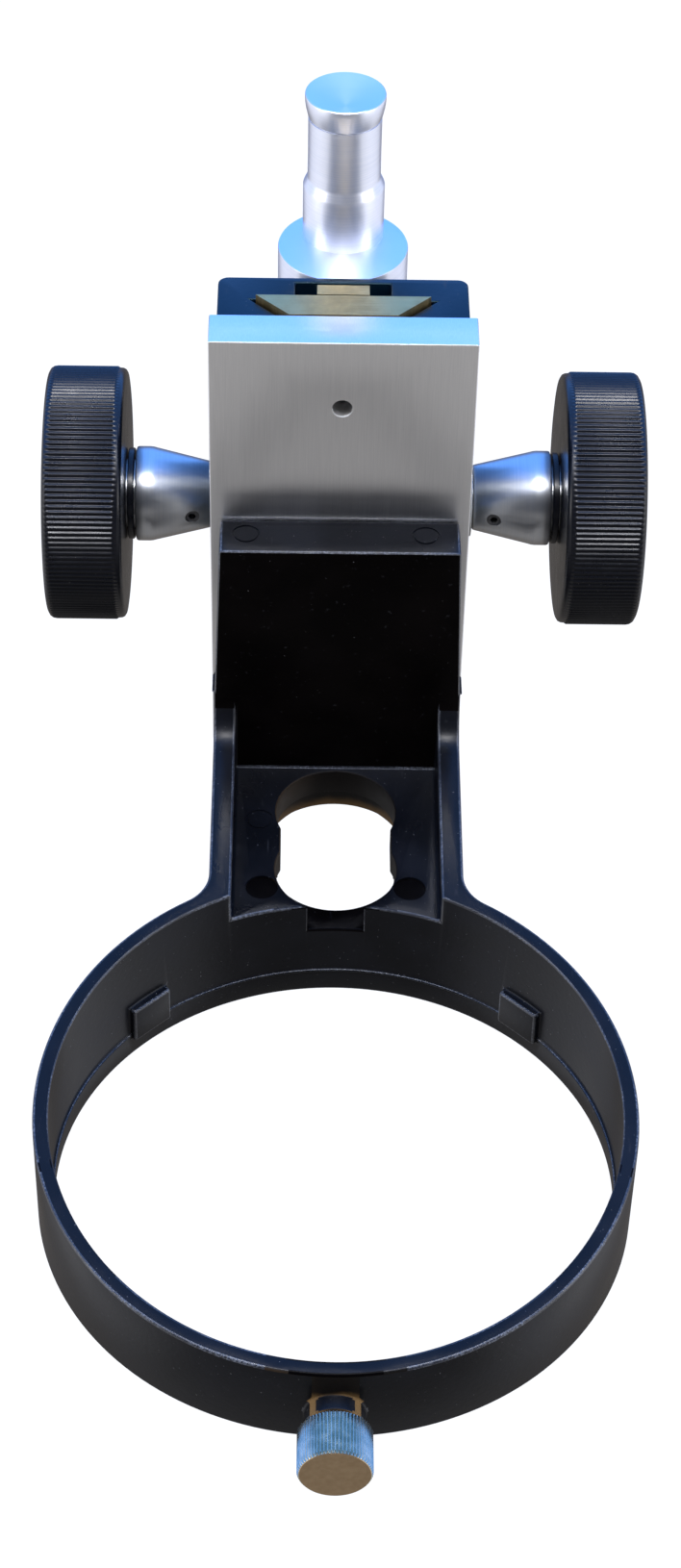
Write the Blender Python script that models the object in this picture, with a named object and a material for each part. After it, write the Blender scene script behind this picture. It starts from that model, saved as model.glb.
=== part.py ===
"""Focusing mount with a pod ring for a stereo microscope.

A turned post stands on an offset collar behind a black housing. A plate runs up and down on the
housing's dovetail, driven by a rack and pinion with two large knobs, and carries a cast arm whose
ring holds the microscope. A thumb screw at the front of the ring clamps it.

Frame: origin on the post's axis at the collar's top face, +Z up along the post, -Y towards the ring,
+X along the knob shaft. The sizes below are in millimetres and are turned into metres by MM.
"""
import math

import bmesh
import bpy
from mathutils import Matrix, Vector

MM = 0.001
GAP = 0.3                   # clearance left between pieces that touch

# Post and collar, turned from one bar
POST_R = 7.94               # 5/8 inch post
WAIST_R = 6.9
HEAD_R = 7.75
POST_HEIGHT = 31.0
COLLAR_R = 12.7             # 1 inch collar
COLLAR_SHIFT = 4.7          # the collar sits forward of the post
COLLAR_HEIGHT = 20.0

# Housing: a slab with the dovetail way, and a rear block that holds the pinion
HOUSING_HALF = 24.0
SLAB_BACK = -17.4
SLAB_FRONT = -31.4
HOUSING_TOP = 0.8
HOUSING_BOTTOM = -75.4      # 3 inches tall
BLOCK_BACK = 8.3
WAY_BACK = -24.8            # floor of the dovetail way
WAY_PLAY = 0.8              # sideways gap on each flank
RACK_GROOVE_HALF = 9.2
RACK_GROOVE_BACK = -19.1

# Carriage: plate, dovetail slide and rack
PLATE_HALF = 25.4           # 2 inches wide
PLATE_BACK = -31.9
PLATE_FRONT = -40.9
CARRIAGE_TOP = 2.1
CARRIAGE_BOTTOM = -97.9
SLIDE_FRONT = PLATE_BACK + GAP
SLIDE_BACK = -25.2
SLIDE_NARROW = 10.3         # half width where it meets the plate, flanks at 45 degrees

# Rack and pinion, 32 diametral pitch
MODULE = 25.4 / 32
TEETH = 18
PITCH_R = MODULE * TEETH / 2
ADDENDUM = 0.9 * MODULE
DEDENDUM = 1.2 * MODULE
BACKLASH = 0.24
PRESSURE = math.radians(20)
RACK_HALF = 5.0
RACK_FRONT = SLIDE_BACK + GAP
RACK_TIP = -20.1
PINION_Y = RACK_TIP - ADDENDUM + PITCH_R
PINION_Z = -54.8
PINION_X = 0.93             # the shaft sits a little to the right
SHAFT_R = 3.97
BEARING_BORE_R = 8.6

# Hubs and knobs, measured along the shaft from its middle
HUB_INNER = 26.45
HUB_TAPER_END = 38.4
HUB_OUTER = 42.2
HUB_SMALL_R = 6.7
HUB_LARGE_R = 9.64
SPIGOT_R = 7.0
KNOB_INNER = 44.1
KNOB_WIDTH = 15.85
KNOB_R = 25.78

# Arm and ring, one casting
RING_Y = -143.9
RING_OUTER_R = 55.7
RING_BORE_R = 52.8
RING_BOTTOM = -119.5
RIM_SLOPE = math.radians(6.55)   # the rim and the rail tops fall towards the front
RAIL_TOP = -84.4                # height of the rail tops at the flange's front face
FLANGE_BACK = PLATE_FRONT - GAP
FLANGE_FRONT = -51.2
FLANGE_TOP = -39.7
FLANGE_HALF = 23.4
ARM_HALF = 24.8
ARM_UNDERSIDE = -109.1
RAIL_WIDTH = 4.4
FLOOR_TOP = -96.1
FLOOR_THICK = 5.9
ARM_FILLET = 8.0
LOBE_R = 12.0
LOBE_BACK_Y = -64.2
LOBE_FRONT_Y = -80.6
LOBE_NECK_HALF = 11.0
PAD_ANGLE = math.radians(44)
PAD_WIDTH = 9.4
PAD_DEPTH = 1.8
PAD_TOP = -106.6
PAD_BOTTOM = -114.8

# Clamp screw, 1/4-20
CLAMP_Z = -112.1
BOSS_R = 5.5
BOSS_FRONT = -202.8
CLAMP_BORE_R = 3.5
SHANK_R = 3.17
THUMB_BACK = -203.6
THUMB_FRONT = -212.5
THUMB_R = 6.65
TIP_END = -192.3
TIP_R = 2.9

# Places of the small screws, (x, z) or z alone
SLIDE_SCREWS = [(x, z) for x in (-8.5, 8.5) for z in (-22, -78)]
ARM_SCREWS = [(x, z) for x in (-18.5, 18.5) for z in (-50, -88)]
RACK_SCREWS = (-12.9, -86)
PLUG_Y = -28.2
PLUG_HEIGHTS = (-18, -64)

BLACK = (0.012, 0.013, 0.016, 1)
ALUMINIUM = (0.62, 0.62, 0.63, 1)
STEEL = (0.55, 0.56, 0.58, 1)
BRASS = (0.50, 0.44, 0.24, 1)
BRONZE = (0.42, 0.30, 0.16, 1)
WHITE = (0.75, 0.75, 0.72, 1)

ALONG_X = Matrix.Rotation(math.radians(90), 4, "Y")
ALONG_Y = Matrix.Rotation(math.radians(-90), 4, "X")


def clear_scene():
    for obj in list(bpy.data.objects):
        bpy.data.objects.remove(obj, do_unlink=True)


def make_material(name, colour, roughness, metallic):
    material = bpy.data.materials.new(name)
    material.use_nodes = True
    shader = material.node_tree.nodes["Principled BSDF"]
    shader.inputs["Base Color"].default_value = colour
    shader.inputs["Roughness"].default_value = roughness
    shader.inputs["Metallic"].default_value = metallic
    return material


def add_object(name, mesh, parent=None, finish=None):
    """Link a mesh as an object, keep its world place under the parent, and give it a material."""
    obj = bpy.data.objects.new(name, mesh)
    bpy.context.collection.objects.link(obj)
    if parent is not None:
        obj.parent = parent
        mesh.transform(Matrix.Translation(-parent.location))
    if finish is not None:
        mesh.materials.append(make_material(name, *finish))
    return obj


def finish_mesh(name, bm, turn=None, place=(0, 0, 0)):
    """Close a bmesh in millimetres, turn and place it, and return it as a mesh in metres."""
    bmesh.ops.remove_doubles(bm, verts=bm.verts, dist=0.001)
    bmesh.ops.recalc_face_normals(bm, faces=bm.faces)
    if turn is not None:
        bm.transform(turn)
    bm.transform(Matrix.Scale(MM, 4) @ Matrix.Translation(Vector(place)))
    mesh = bpy.data.meshes.new(name)
    bm.to_mesh(mesh)
    bm.free()
    return mesh


def turned(name, profile, segments, turn=None, place=(0, 0, 0)):
    """Spin a profile of (radius, height) points about Z. A closed profile makes a tube."""
    bm = bmesh.new()
    verts = [bm.verts.new((r, 0, z)) for r, z in profile]
    edges = [bm.edges.new(pair) for pair in zip(verts, verts[1:])]
    if profile[0][0] > 0:
        edges.append(bm.edges.new((verts[-1], verts[0])))
    bmesh.ops.spin(bm, geom=verts + edges, cent=(0, 0, 0), axis=(0, 0, 1), angle=math.tau,
                   steps=segments, use_merge=True)
    mesh = finish_mesh(name, bm, turn, place)
    mesh.shade_smooth()
    mesh.set_sharp_from_angle(angle=math.radians(30))
    return mesh


def cylinder(name, radius, low, high, segments=32, turn=None, place=(0, 0, 0)):
    profile = [(0, low), (radius, low), (radius, high), (0, high)]
    return turned(name, profile, segments, turn, place)


def tube(name, inner, outer, low, high, segments=32, turn=None, place=(0, 0, 0)):
    profile = [(inner, low), (outer, low), (outer, high), (inner, high)]
    return turned(name, profile, segments, turn, place)


def prism(name, outline, low, high, axis="Z"):
    """Extrude an outline along an axis: (x, y) for Z, (x, z) for Y, (y, z) for X."""
    place = {"Z": lambda u, v: (u, v, low), "Y": lambda u, v: (u, low, v),
             "X": lambda u, v: (low, u, v)}[axis]
    step = {"Z": (0, 0, 1), "Y": (0, 1, 0), "X": (1, 0, 0)}[axis]
    bm = bmesh.new()
    face = bm.faces.new([bm.verts.new(place(u, v)) for u, v in outline])
    grown = bmesh.ops.extrude_face_region(bm, geom=[face])
    top = [item for item in grown["geom"] if isinstance(item, bmesh.types.BMVert)]
    bmesh.ops.translate(bm, verts=top, vec=Vector(step) * (high - low))
    return finish_mesh(name, bm)


def box(name, x, y, z):
    """A block between three (low, high) pairs."""
    outline = [(x[0], y[0]), (x[1], y[0]), (x[1], y[1]), (x[0], y[1])]
    return prism(name, outline, z[0], z[1])


def arc(centre, radius, start, end, steps):
    """Points on an arc, angles in degrees."""
    points = []
    for i in range(steps + 1):
        angle = math.radians(start + (end - start) * i / steps)
        points.append((centre[0] + radius * math.cos(angle), centre[1] + radius * math.sin(angle)))
    return points


def combine(target, tool_mesh, operation):
    """Add a Boolean to the target. Its tool is a hidden guide, not a piece of its own."""
    tool = add_object(target.name + "_" + tool_mesh.name, tool_mesh, target.parent)
    tool.hide_render = True
    tool.display_type = "WIRE"
    modifier = target.modifiers.new(tool.name, "BOOLEAN")
    modifier.operation = operation
    modifier.object = tool


def cut(target, tool_mesh):
    combine(target, tool_mesh, "DIFFERENCE")


def join(target, tool_mesh):
    combine(target, tool_mesh, "UNION")


def add_pivot(name, x, y, z):
    pivot = bpy.data.objects.new(name, None)
    pivot.location = (x * MM, y * MM, z * MM)
    bpy.context.collection.objects.link(pivot)
    return pivot


# ---------------------------------------------------------------- fixed pieces
def build_post():
    """Turned post with a waist for the stand's clamp, on a collar that sits forward of it."""
    chamfer = 0.4
    profile = [(0, -2.0), (POST_R, -2.0), (POST_R, 11.0), (WAIST_R, 13.2), (WAIST_R, 25.0),
               (HEAD_R, 27.6), (HEAD_R, POST_HEIGHT - chamfer), (HEAD_R - chamfer, POST_HEIGHT),
               (0, POST_HEIGHT)]
    post = add_object("mounting_post", turned("mounting_post", profile, 48),
                      finish=(ALUMINIUM, 0.22, 1))
    collar = (0, -COLLAR_SHIFT, 0)
    join(post, cylinder("collar", COLLAR_R, -COLLAR_HEIGHT, 0, 64, place=collar))
    cut(post, cylinder("screw_hole", 3.3, -COLLAR_HEIGHT - 1, -7, 24, place=(0, 1.6, 0)))


def housing_outline():
    """Slab seen from above: square ways in front, rounded rear corners, dovetail and rack groove."""
    corner = 2.0
    flank = SLIDE_NARROW + WAY_PLAY
    wide = flank + (WAY_BACK - SLIDE_FRONT)
    front = flank + (SLAB_FRONT - SLIDE_FRONT)
    right = [(RACK_GROOVE_HALF, RACK_GROOVE_BACK), (RACK_GROOVE_HALF, WAY_BACK), (wide, WAY_BACK),
             (front, SLAB_FRONT), (HOUSING_HALF, SLAB_FRONT)]
    right += arc((HOUSING_HALF - corner, SLAB_BACK - corner), corner, 0, 90, 4)
    return right + [(-x, y) for x, y in reversed(right)]


def build_housing():
    """Black housing: dovetail slab, rear block, pinion bore and the holes for its screws."""
    slab = prism("focus_housing", housing_outline(), HOUSING_BOTTOM, HOUSING_TOP)
    housing = add_object("focus_housing", slab, finish=(BLACK, 0.38, 0.2))
    top = -COLLAR_HEIGHT - GAP
    join(housing, box("rear_block", (-HOUSING_HALF, HOUSING_HALF), (SLAB_BACK - 1.5, BLOCK_BACK),
                      (HOUSING_BOTTOM, top)))
    cut(housing, cylinder("pinion_bore", BEARING_BORE_R, -30, 30, 40, ALONG_X,
                          (0, PINION_Y, PINION_Z)))
    cut(housing, cylinder("post_screw_hole", 3.3, -45, -15, 24, place=(0, 1.6, 0)))
    cut(housing, cylinder("post_screw_well", 5.4, HOUSING_BOTTOM - 1, -34, 32, place=(0, 1.6, 0)))
    for z in PLUG_HEIGHTS:
        cut(housing, cylinder("plug_hole_%d" % -z, 2.3, 13.5, 26, 24, ALONG_X, (0, PLUG_Y, z)))


def build_housing_fittings():
    """Post screw, bushings, washers, and the two friction plugs with their set screws."""
    place = (0, 1.6, 0)
    profile = [(0, -40.3), (5.0, -40.3), (5.0, -34.3), (3.0, -34.3), (3.0, -8.0), (0, -8.0)]
    screw = add_object("post_screw", turned("post_screw", profile, 24, place=place),
                       finish=(STEEL, 0.35, 1))
    cut(screw, cylinder("socket", 2.5, -41, -37.3, 6, place=place))
    axis = (0, PINION_Y, PINION_Z)
    bore = SHAFT_R + GAP
    for side, sign in (("left", -1), ("right", 1)):
        low, high = sorted((sign * 7.0, sign * HOUSING_HALF))
        add_object("pinion_bushing_" + side,
                   tube("bushing", bore, BEARING_BORE_R - GAP, low, high, 32, ALONG_X, axis),
                   finish=(BRONZE, 0.4, 1))
        hub_end = PINION_X + sign * (HUB_INNER - GAP)
        low, high = sorted((sign * (HOUSING_HALF + GAP), hub_end))
        add_object("friction_washer_" + side,
                   tube("washer", bore, 8.0, low, high, 32, ALONG_X, axis), finish=(WHITE, 0.5, 0))
    for label, z in zip(("upper", "lower"), PLUG_HEIGHTS):
        add_object("friction_plug_" + label,
                   cylinder("plug", 2.0, 16.1, 19.6, 20, ALONG_X, (0, PLUG_Y, z)),
                   finish=(WHITE, 0.5, 0))
        screw = add_object("friction_screw_" + label,
                           cylinder("screw", 2.0, 19.9, 23.6, 20, ALONG_X, (0, PLUG_Y, z)),
                           finish=(STEEL, 0.35, 1))
        cut(screw, cylinder("socket", 1.0, 21.6, 25, 6, ALONG_X, (0, PLUG_Y, z)))


# ---------------------------------------------------------------- carriage
def build_plate(pivot):
    """Brushed plate with the hole of the upper rack screw, and sunk holes for the arm's screws."""
    plate = add_object("carriage_plate", box("carriage_plate", (-PLATE_HALF, PLATE_HALF),
                       (PLATE_FRONT, PLATE_BACK), (CARRIAGE_BOTTOM, CARRIAGE_TOP)), pivot,
                       (ALUMINIUM, 0.32, 1))
    for i, z in enumerate(RACK_SCREWS):
        cut(plate, cylinder("rack_hole_%d" % i, 1.8, PLATE_FRONT - 1, PLATE_BACK + 1, 24, ALONG_Y,
                            (0, 0, z)))
    for i, (x, z) in enumerate(SLIDE_SCREWS):
        cut(plate, cylinder("slide_hole_%d" % i, 1.8, -38, PLATE_BACK + 1, 16, ALONG_Y, (x, 0, z)))
    for i, (x, z) in enumerate(ARM_SCREWS):
        profile = [(0, PLATE_FRONT - 1), (2.3, PLATE_FRONT - 1), (2.3, PLATE_BACK - 4.6),
                   (3.9, PLATE_BACK - 4.6), (3.9, PLATE_BACK + 1), (0, PLATE_BACK + 1)]
        cut(plate, turned("arm_hole_%d" % i, profile, 20, ALONG_Y, (x, 0, z)))


def build_slide(pivot):
    """Brass male dovetail, screwed to the back of the plate."""
    wide = SLIDE_NARROW + (SLIDE_BACK - SLIDE_FRONT)
    outline = [(-SLIDE_NARROW, SLIDE_FRONT), (SLIDE_NARROW, SLIDE_FRONT), (wide, SLIDE_BACK),
               (-wide, SLIDE_BACK)]
    slide = add_object("dovetail_slide", prism("dovetail_slide", outline, CARRIAGE_BOTTOM,
                       CARRIAGE_TOP), pivot, (BRASS, 0.4, 1))
    for i, z in enumerate(RACK_SCREWS):
        cut(slide, cylinder("rack_hole_%d" % i, 1.8, SLIDE_FRONT - 1, SLIDE_BACK + 1, 24, ALONG_Y,
                            (0, 0, z)))
    for i, (x, z) in enumerate(SLIDE_SCREWS):
        profile = [(0, SLIDE_FRONT - 1), (1.8, SLIDE_FRONT - 1), (1.8, SLIDE_BACK - 3.2),
                   (3.1, SLIDE_BACK - 3.2), (3.1, SLIDE_BACK + 1), (0, SLIDE_BACK + 1)]
        cut(slide, turned("slide_hole_%d" % i, profile, 16, ALONG_Y, (x, 0, z)))


def rack_outline():
    """Rack from the side, in (y, z). A gap between two teeth faces the pinion's axis."""
    pitch = math.pi * MODULE
    pitch_line = RACK_TIP - ADDENDUM
    root = pitch_line - DEDENDUM
    half = (pitch - BACKLASH) / 4
    tip_half = half - ADDENDUM * math.tan(PRESSURE)
    root_half = half + DEDENDUM * math.tan(PRESSURE)
    points = [(RACK_FRONT, CARRIAGE_TOP), (RACK_FRONT, CARRIAGE_BOTTOM), (root, CARRIAGE_BOTTOM)]
    count = math.floor((PINION_Z - CARRIAGE_BOTTOM) / pitch - 1)
    centre = PINION_Z - (count - 0.5) * pitch
    while centre + root_half < CARRIAGE_TOP:
        points += [(root, centre - root_half), (RACK_TIP, centre - tip_half),
                   (RACK_TIP, centre + tip_half), (root, centre + root_half)]
        centre += pitch
    return points + [(root, CARRIAGE_TOP)]


def build_rack(pivot):
    """Brass rack in the middle of the slide's back."""
    rack = add_object("rack", prism("rack", rack_outline(), -RACK_HALF, RACK_HALF, "X"), pivot,
                      (BRASS, 0.35, 1))
    for i, z in enumerate(RACK_SCREWS):
        cut(rack, cylinder("screw_hole_%d" % i, 1.8, RACK_FRONT - 1, RACK_FRONT + 2.2, 16, ALONG_Y,
                           (0, 0, z)))


def build_carriage_screws(pivot):
    """Headless rack screws, and the slide's and the arm's socket screws."""
    steel = (STEEL, 0.35, 1)
    for label, z in zip(("upper", "lower"), RACK_SCREWS):
        screw = add_object("rack_screw_" + label,
                           cylinder("screw", 1.5, -36.5, RACK_FRONT + 1.9, 20, ALONG_Y, (0, 0, z)),
                           pivot, steel)
        cut(screw, box("slot", (-2, 2), (-37.5, -35.9), (z - 0.25, z + 0.25)))
    for number, (x, z) in enumerate(SLIDE_SCREWS, 1):
        head = SLIDE_BACK - 0.3
        profile = [(0, -37.6), (1.5, -37.6), (1.5, head - 2.6), (2.8, head - 2.6), (2.8, head),
                   (0, head)]
        screw = add_object("slide_screw_%d" % number, turned("screw", profile, 16, ALONG_Y,
                           (x, 0, z)), pivot, steel)
        cut(screw, cylinder("socket", 1.3, head - 1.5, head + 1, 6, ALONG_Y, (x, 0, z)))
    for number, (x, z) in enumerate(ARM_SCREWS, 1):
        head = PLATE_BACK - 0.3
        profile = [(0, FLANGE_BACK - 6.5), (2.0, FLANGE_BACK - 6.5), (2.0, head - 4.0),
                   (3.5, head - 4.0), (3.5, head), (0, head)]
        screw = add_object("arm_screw_%d" % number, turned("screw", profile, 20, ALONG_Y,
                           (x, 0, z)), pivot, steel)
        cut(screw, cylinder("socket", 1.7, head - 2.0, head + 1, 6, ALONG_Y, (x, 0, z)))


# ---------------------------------------------------------------- arm and ring
def rim_height(y):
    return RAIL_TOP + math.tan(RIM_SLOPE) * (y - FLANGE_FRONT)


def arm_plan():
    """Arm and ring seen from above, in (x, y), with the fillets where they meet."""
    side = ARM_HALF + ARM_FILLET
    reach = math.sqrt((RING_OUTER_R + ARM_FILLET) ** 2 - side ** 2)
    meet = math.degrees(math.atan2(reach, side))
    left = [(-ARM_HALF, FLANGE_BACK - 4)]
    left += arc((-side, RING_Y + reach), ARM_FILLET, 0, -meet, 6)
    left += arc((0, RING_Y), RING_OUTER_R, 180 - meet, 270, 36)[1:]
    return left + [(-x, y) for x, y in reversed(left[:-1])]


def top_trim():
    """Side view in (y, z) of what is cut off above the rails and the rim, with its fillet."""
    radius = 8.0
    slope = math.degrees(RIM_SLOPE)
    floor_y = FLANGE_FRONT - radius
    centre_z = rim_height(floor_y) + radius
    points = [(FLANGE_FRONT + 0.05, 0), (FLANGE_FRONT + 0.05, centre_z)]
    points += arc((floor_y, centre_z), radius, 0, -90 + slope, 8)[1:]
    points += [(RING_Y - 70, rim_height(RING_Y - 70)), (RING_Y - 70, 0)]
    return points


def lobed_hole():
    """Two round lobes joined by a slightly narrower neck, in (x, y)."""
    dip = math.degrees(math.acos(LOBE_NECK_HALF / LOBE_R))
    back = arc((0, LOBE_BACK_Y), LOBE_R, -dip, 180 + dip, 20)
    front = arc((0, LOBE_FRONT_Y), LOBE_R, 180 - dip, 360 + dip, 20)
    return back + front


def build_arm_ring(pivot):
    """Black casting: flange, channel-shaped arm, ring with two pads and a clamp boss."""
    low = RING_BOTTOM - 10
    half = ARM_HALF + 0.1
    flange_outline = [(-FLANGE_HALF, FLANGE_TOP), (-half, RAIL_TOP), (-half, low), (half, low),
                      (half, RAIL_TOP), (FLANGE_HALF, FLANGE_TOP)]
    flange = prism("arm_ring", flange_outline, FLANGE_FRONT, FLANGE_BACK, "Y")
    casting = add_object("arm_ring", flange, pivot, (BLACK, 0.4, 0.2))
    join(casting, prism("arm", arm_plan(), RING_BOTTOM, FLANGE_TOP - 20))
    cut(casting, prism("top_trim", top_trim(), -70, 70, "X"))
    inside = ARM_HALF - RAIL_WIDTH
    cut(casting, box("channel", (-inside, inside), (RING_Y, FLANGE_FRONT), (FLOOR_TOP, -60)))
    underside = [(FLANGE_BACK + 1, low - 1), (FLANGE_BACK + 1, ARM_UNDERSIDE),
                 (FLANGE_FRONT, ARM_UNDERSIDE), (RING_Y + 53, RING_BOTTOM - 0.05),
                 (RING_Y + 53, low - 1)]
    cut(casting, prism("underside", underside, -40, 40, "X"))
    cut(casting, box("pocket", (-inside, inside), (RING_Y + 57, FLANGE_FRONT),
                     (low, FLOOR_TOP - FLOOR_THICK)))
    ring = (0, RING_Y, 0)
    cut(casting, cylinder("ring_bore", RING_BORE_R, low, -60, 96, place=ring))
    cut(casting, prism("lobed_hole", lobed_hole(), FLOOR_TOP - FLOOR_THICK - 0.6, -70))
    for side, sign in (("left", -1), ("right", 1)):
        pad = box("pad_" + side, (-PAD_WIDTH / 2, PAD_WIDTH / 2),
                  (RING_BORE_R - PAD_DEPTH, RING_BORE_R + 1.2), (PAD_BOTTOM, PAD_TOP))
        turn = Matrix.Rotation(-sign * PAD_ANGLE, 4, "Z")
        pad.transform(Matrix.Translation((0, RING_Y * MM, 0)) @ turn)
        join(casting, pad)
    clamp = (0, 0, CLAMP_Z)
    join(casting, cylinder("boss", BOSS_R, BOSS_FRONT, RING_Y - RING_BORE_R - 1, 32, ALONG_Y, clamp))
    cut(casting, cylinder("clamp_bore", CLAMP_BORE_R, BOSS_FRONT - 2, RING_Y - 40, 28, ALONG_Y, clamp))
    for i, (x, z) in enumerate(ARM_SCREWS):
        cut(casting, cylinder("screw_hole_%d" % i, 2.3, FLANGE_BACK - 7, FLANGE_BACK + 1, 20, ALONG_Y,
                              (x, 0, z)))


def build_clamp(tip_pivot, screw_pivot):
    """Brass tip that presses on the pod, and the knurled thumb screw that drives it."""
    clamp = (0, 0, CLAMP_Z)
    foot = TIP_END - 3.2
    profile = [(0, foot - 2.8), (1.2, foot - 2.8), (1.2, foot), (TIP_R, foot), (TIP_R, TIP_END - 0.5),
               (TIP_R - 0.5, TIP_END), (0, TIP_END)]
    add_object("clamp_tip", turned("clamp_tip", profile, 24, ALONG_Y, clamp), tip_pivot,
               (BRASS, 0.35, 1))
    chamfer = 0.5
    start = foot - GAP
    profile = [(0, THUMB_FRONT), (THUMB_R - chamfer, THUMB_FRONT), (THUMB_R, THUMB_FRONT + chamfer),
               (THUMB_R, THUMB_BACK - chamfer), (THUMB_R - chamfer, THUMB_BACK),
               (SHANK_R, THUMB_BACK), (SHANK_R, start), (1.5, start), (1.5, start - 3.1),
               (0, start - 3.1)]
    add_object("thumb_screw", turned("thumb_screw", profile, 32, ALONG_Y, clamp), screw_pivot,
               (STEEL, 0.3, 1))


# ---------------------------------------------------------------- pinion, hubs and knobs
def gear_outline():
    """Pinion seen along its axis. A tooth points at the rack, towards -Y."""
    base_r = PITCH_R * math.cos(PRESSURE)
    tip_r = PITCH_R + ADDENDUM
    root_r = PITCH_R - DEDENDUM
    involute = math.tan(PRESSURE) - PRESSURE
    pitch_half = (math.pi * MODULE - BACKLASH) / 4 / PITCH_R

    def flank(radius):
        roll = math.acos(min(1.0, base_r / radius))
        return pitch_half + involute - (math.tan(roll) - roll)

    stations = [(root_r, flank(base_r) + 0.01), (base_r, flank(base_r)), (PITCH_R, flank(PITCH_R)),
                (tip_r, flank(tip_r))]
    points = []
    for tooth in range(TEETH):
        middle = -math.pi / 2 + tooth * math.tau / TEETH
        ring = [(r, middle - half) for r, half in stations]
        ring += [(r, middle + half) for r, half in reversed(stations)]
        points += [(r * math.cos(a), r * math.sin(a)) for r, a in ring]
    return points


def build_pinion(pivot):
    """Steel shaft and pinion that cross the housing behind the rack."""
    axis = (PINION_X, PINION_Y, PINION_Z)
    shaft_end = 54.0
    chamfer = 0.5
    profile = [(0, -shaft_end), (SHAFT_R - chamfer, -shaft_end), (SHAFT_R, -shaft_end + chamfer),
               (SHAFT_R, shaft_end - chamfer), (SHAFT_R - chamfer, shaft_end), (0, shaft_end)]
    add_object("pinion_shaft", turned("pinion_shaft", profile, 32, ALONG_X, axis), pivot,
               (STEEL, 0.25, 1))
    outline = [(y + PINION_Y, z + PINION_Z) for y, z in
               [(v, -u) for u, v in gear_outline()]]
    gear = add_object("pinion_gear", prism("pinion_gear", outline, -5.5, 5.5, "X"), pivot,
                      (STEEL, 0.3, 1))
    cut(gear, cylinder("bore", SHAFT_R + GAP, -8, 8, 32, ALONG_X, axis))


def build_handle(side, sign, pivot):
    """One end of the shaft: tapered hub, its set screw, a spacer and a large knob."""
    axis = (PINION_X, PINION_Y, PINION_Z)
    turn = ALONG_X if sign > 0 else Matrix.Rotation(math.radians(-90), 4, "Y")
    bore = SHAFT_R + GAP
    spigot_end = KNOB_INNER + 12.0
    profile = [(bore, HUB_INNER), (HUB_SMALL_R, HUB_INNER), (HUB_LARGE_R, HUB_TAPER_END),
               (HUB_LARGE_R, HUB_OUTER), (SPIGOT_R, HUB_OUTER), (SPIGOT_R, spigot_end),
               (bore, spigot_end)]
    hub = add_object("hub_" + side, turned("hub", profile, 40, turn, axis), pivot, (STEEL, 0.22, 1))
    screw_x = PINION_X + sign * 30.7
    hole = (screw_x, 0, PINION_Z)
    cut(hub, cylinder("screw_hole", 1.8, PINION_Y - 12, PINION_Y - 2, 20, ALONG_Y, hole))
    screw = add_object("hub_set_screw_" + side,
                       cylinder("screw", 1.5, PINION_Y - 7.4, PINION_Y - SHAFT_R - GAP, 20, ALONG_Y,
                                hole), pivot, (STEEL, 0.4, 1))
    cut(screw, cylinder("socket", 0.8, PINION_Y - 9, PINION_Y - 6.0, 6, ALONG_Y, hole))
    add_object("knob_spacer_" + side,
               tube("spacer", SPIGOT_R + GAP, 9.3, HUB_OUTER + GAP, KNOB_INNER - GAP, 40, turn, axis),
               pivot, (STEEL, 0.5, 1))
    outer = KNOB_INNER + KNOB_WIDTH
    chamfer = 1.2
    dish = 1.6
    profile = [(0, spigot_end + GAP), (SPIGOT_R + GAP, spigot_end + GAP),
               (SPIGOT_R + GAP, KNOB_INNER), (KNOB_R - 1.0, KNOB_INNER), (KNOB_R, KNOB_INNER + 1.0),
               (KNOB_R, outer - chamfer), (KNOB_R - chamfer, outer), (20.5, outer),
               (19.0, outer - dish), (0, outer - dish)]
    add_object("knob_" + side, turned("knob", profile, 64, turn, axis), pivot, (BLACK, 0.4, 0))


def main():
    clear_scene()
    build_post()
    build_housing()
    build_housing_fittings()
    carriage = add_pivot("carriage_pivot", 0, SLIDE_BACK, (CARRIAGE_TOP + CARRIAGE_BOTTOM) / 2)
    build_plate(carriage)
    build_slide(carriage)
    build_rack(carriage)
    build_carriage_screws(carriage)
    build_arm_ring(carriage)
    shaft = add_pivot("pinion_pivot", PINION_X, PINION_Y, PINION_Z)
    build_pinion(shaft)
    build_handle("left", -1, shaft)
    build_handle("right", 1, shaft)
    clamp = add_pivot("clamp_pivot", 0, TIP_END, CLAMP_Z)
    build_clamp(clamp, clamp)


main()
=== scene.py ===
import math

import bpy
from mathutils import Matrix, Vector


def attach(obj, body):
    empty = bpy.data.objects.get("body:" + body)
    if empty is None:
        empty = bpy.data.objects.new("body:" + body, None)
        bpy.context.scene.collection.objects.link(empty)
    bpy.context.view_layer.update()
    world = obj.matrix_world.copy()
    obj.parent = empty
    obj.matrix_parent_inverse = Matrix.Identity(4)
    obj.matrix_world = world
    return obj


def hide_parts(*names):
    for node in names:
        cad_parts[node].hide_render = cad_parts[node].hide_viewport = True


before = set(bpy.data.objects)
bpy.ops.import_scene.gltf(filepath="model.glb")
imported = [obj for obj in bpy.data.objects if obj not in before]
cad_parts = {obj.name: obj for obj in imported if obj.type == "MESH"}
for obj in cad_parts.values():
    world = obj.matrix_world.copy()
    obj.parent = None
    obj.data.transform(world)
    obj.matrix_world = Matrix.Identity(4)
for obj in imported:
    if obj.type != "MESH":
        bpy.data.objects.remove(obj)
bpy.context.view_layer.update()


# ------------------------------------------------------------------ view and light
# The mount is seen from above its ring, over a pale floor. Light comes from a soft panel overhead
# and from the pale room round it, which is bluer behind the mount and darker in front.
camera_data = bpy.data.cameras.new("camera")
camera = bpy.data.objects.new("camera", camera_data)
bpy.context.scene.collection.objects.link(camera)
heading, dip, roll = math.radians(1.04), math.radians(43.03), math.radians(1.33)
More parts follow.
